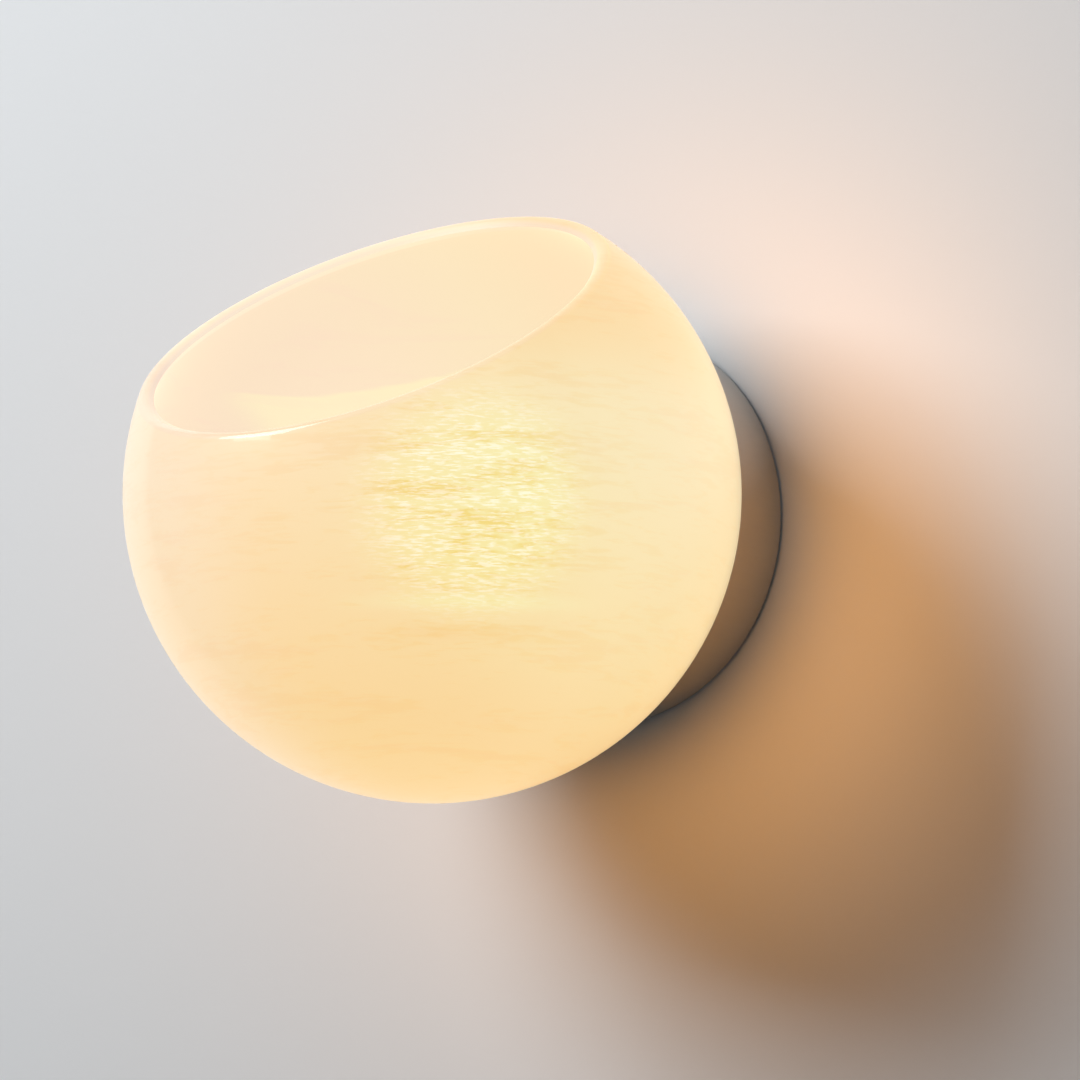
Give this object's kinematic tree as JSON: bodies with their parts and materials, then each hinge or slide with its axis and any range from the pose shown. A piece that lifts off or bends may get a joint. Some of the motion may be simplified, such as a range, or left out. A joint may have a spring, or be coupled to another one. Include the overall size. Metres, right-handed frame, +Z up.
{
  "type": "wall sconce",
  "caption": "Wall uplighter: streaky white and amber glass ball with a slanting open mouth on a shallow round satin nickel wall plate, lit by a screw bulb.",
  "frame": {"origin": "on the wall plane, at the centre of the round wall plate", "axes": "+Y into the wall, -Y out into the room, +Z up, +X to the right seen from the room"},
  "size_m": [0.2, 0.208, 0.195],
  "materials": {
    "satin_nickel": "satin",
    "zinc_steel": "dull bright zinc",
    "plain_brass": "bright",
    "plated_screw": "bright",
    "green_screw": "green plated",
    "black_foam": "closed-cell foam",
    "grey_rubber": "matte",
    "streaky_glass": "glossy, streaky white and amber, cased",
    "natural_nylon": "semi-matte",
    "white_insulation": "smooth",
    "black_insulation": "smooth",
    "green_insulation": "smooth",
    "black_resin": "moulded",
    "porcelain": "glazed",
    "bulb_metal": "rolled",
    "tin_lead": "solder",
    "black_glass": "glassy",
    "frosted_glass": "frosted, lit",
    "clear_glass": "clear",
    "support_wire": "bright",
    "led_filament": "phosphor coat, lit",
    "circuit_board": "lacquered"
  },
  "bodies": {
    "root": {"wall_gasket": "black_foam", "canopy": "satin_nickel", "seat_gasket": "grey_rubber", "wall_bar": "zinc_steel", "canopy_bar": "zinc_steel", "lock_washer": "zinc_steel", "bar_nut": "plain_brass", "threaded_tube": "zinc_steel", "canopy_screws": "satin_nickel", "earth_screw": "green_screw", "earth_ring": "plain_brass", "terminal_block": "natural_nylon", "pole_tubes": "plain_brass", "pole_screws": "plated_screw", "block_screw": "plated_screw", "neutral_lead": "white_insulation", "line_lead": "black_insulation", "earth_lead": "green_insulation", "socket_cap": "black_resin", "socket_core": "porcelain", "socket_sleeve": "black_resin", "screw_shell": "plain_brass", "centre_contact": "plain_brass", "socket_terminals": "plain_brass", "socket_screws": "plated_screw", "shade_ring": "black_resin", "ring_gasket": "grey_rubber"},
    "shade": {"glass_shade": "streaky_glass"},
    "bulb_carriage": {"bulb_tip": "tin_lead"},
    "bulb": {"bulb_insulator": "black_glass", "bulb_base": "bulb_metal", "bulb_globe": "frosted_glass", "bulb_stem": "clear_glass", "filament_wires": "support_wire", "filaments": "led_filament", "driver_board": "circuit_board"}
  },
  "joints": [
    {"name": "shade_aim", "type": "hinge", "parent": "root", "child": "shade", "pos_m": [0, -0.029, 0], "axis": [0, -1, 0], "continuous": true},
    {"name": "bulb_travel", "type": "slide", "parent": "root", "child": "bulb_carriage", "axis": [0, -1, 0], "range_m": [0, 0.0182]},
    {"name": "bulb_turn", "type": "hinge", "parent": "bulb_carriage", "child": "bulb", "pos_m": [0, -0.0195, 0], "axis": [0, -1, 0], "range_deg": [0, 1800]}
  ],
  "couplings": [
    {"joint": "bulb_travel", "follows": "bulb_turn", "m_per_rad": 0.00057773}
  ]
}
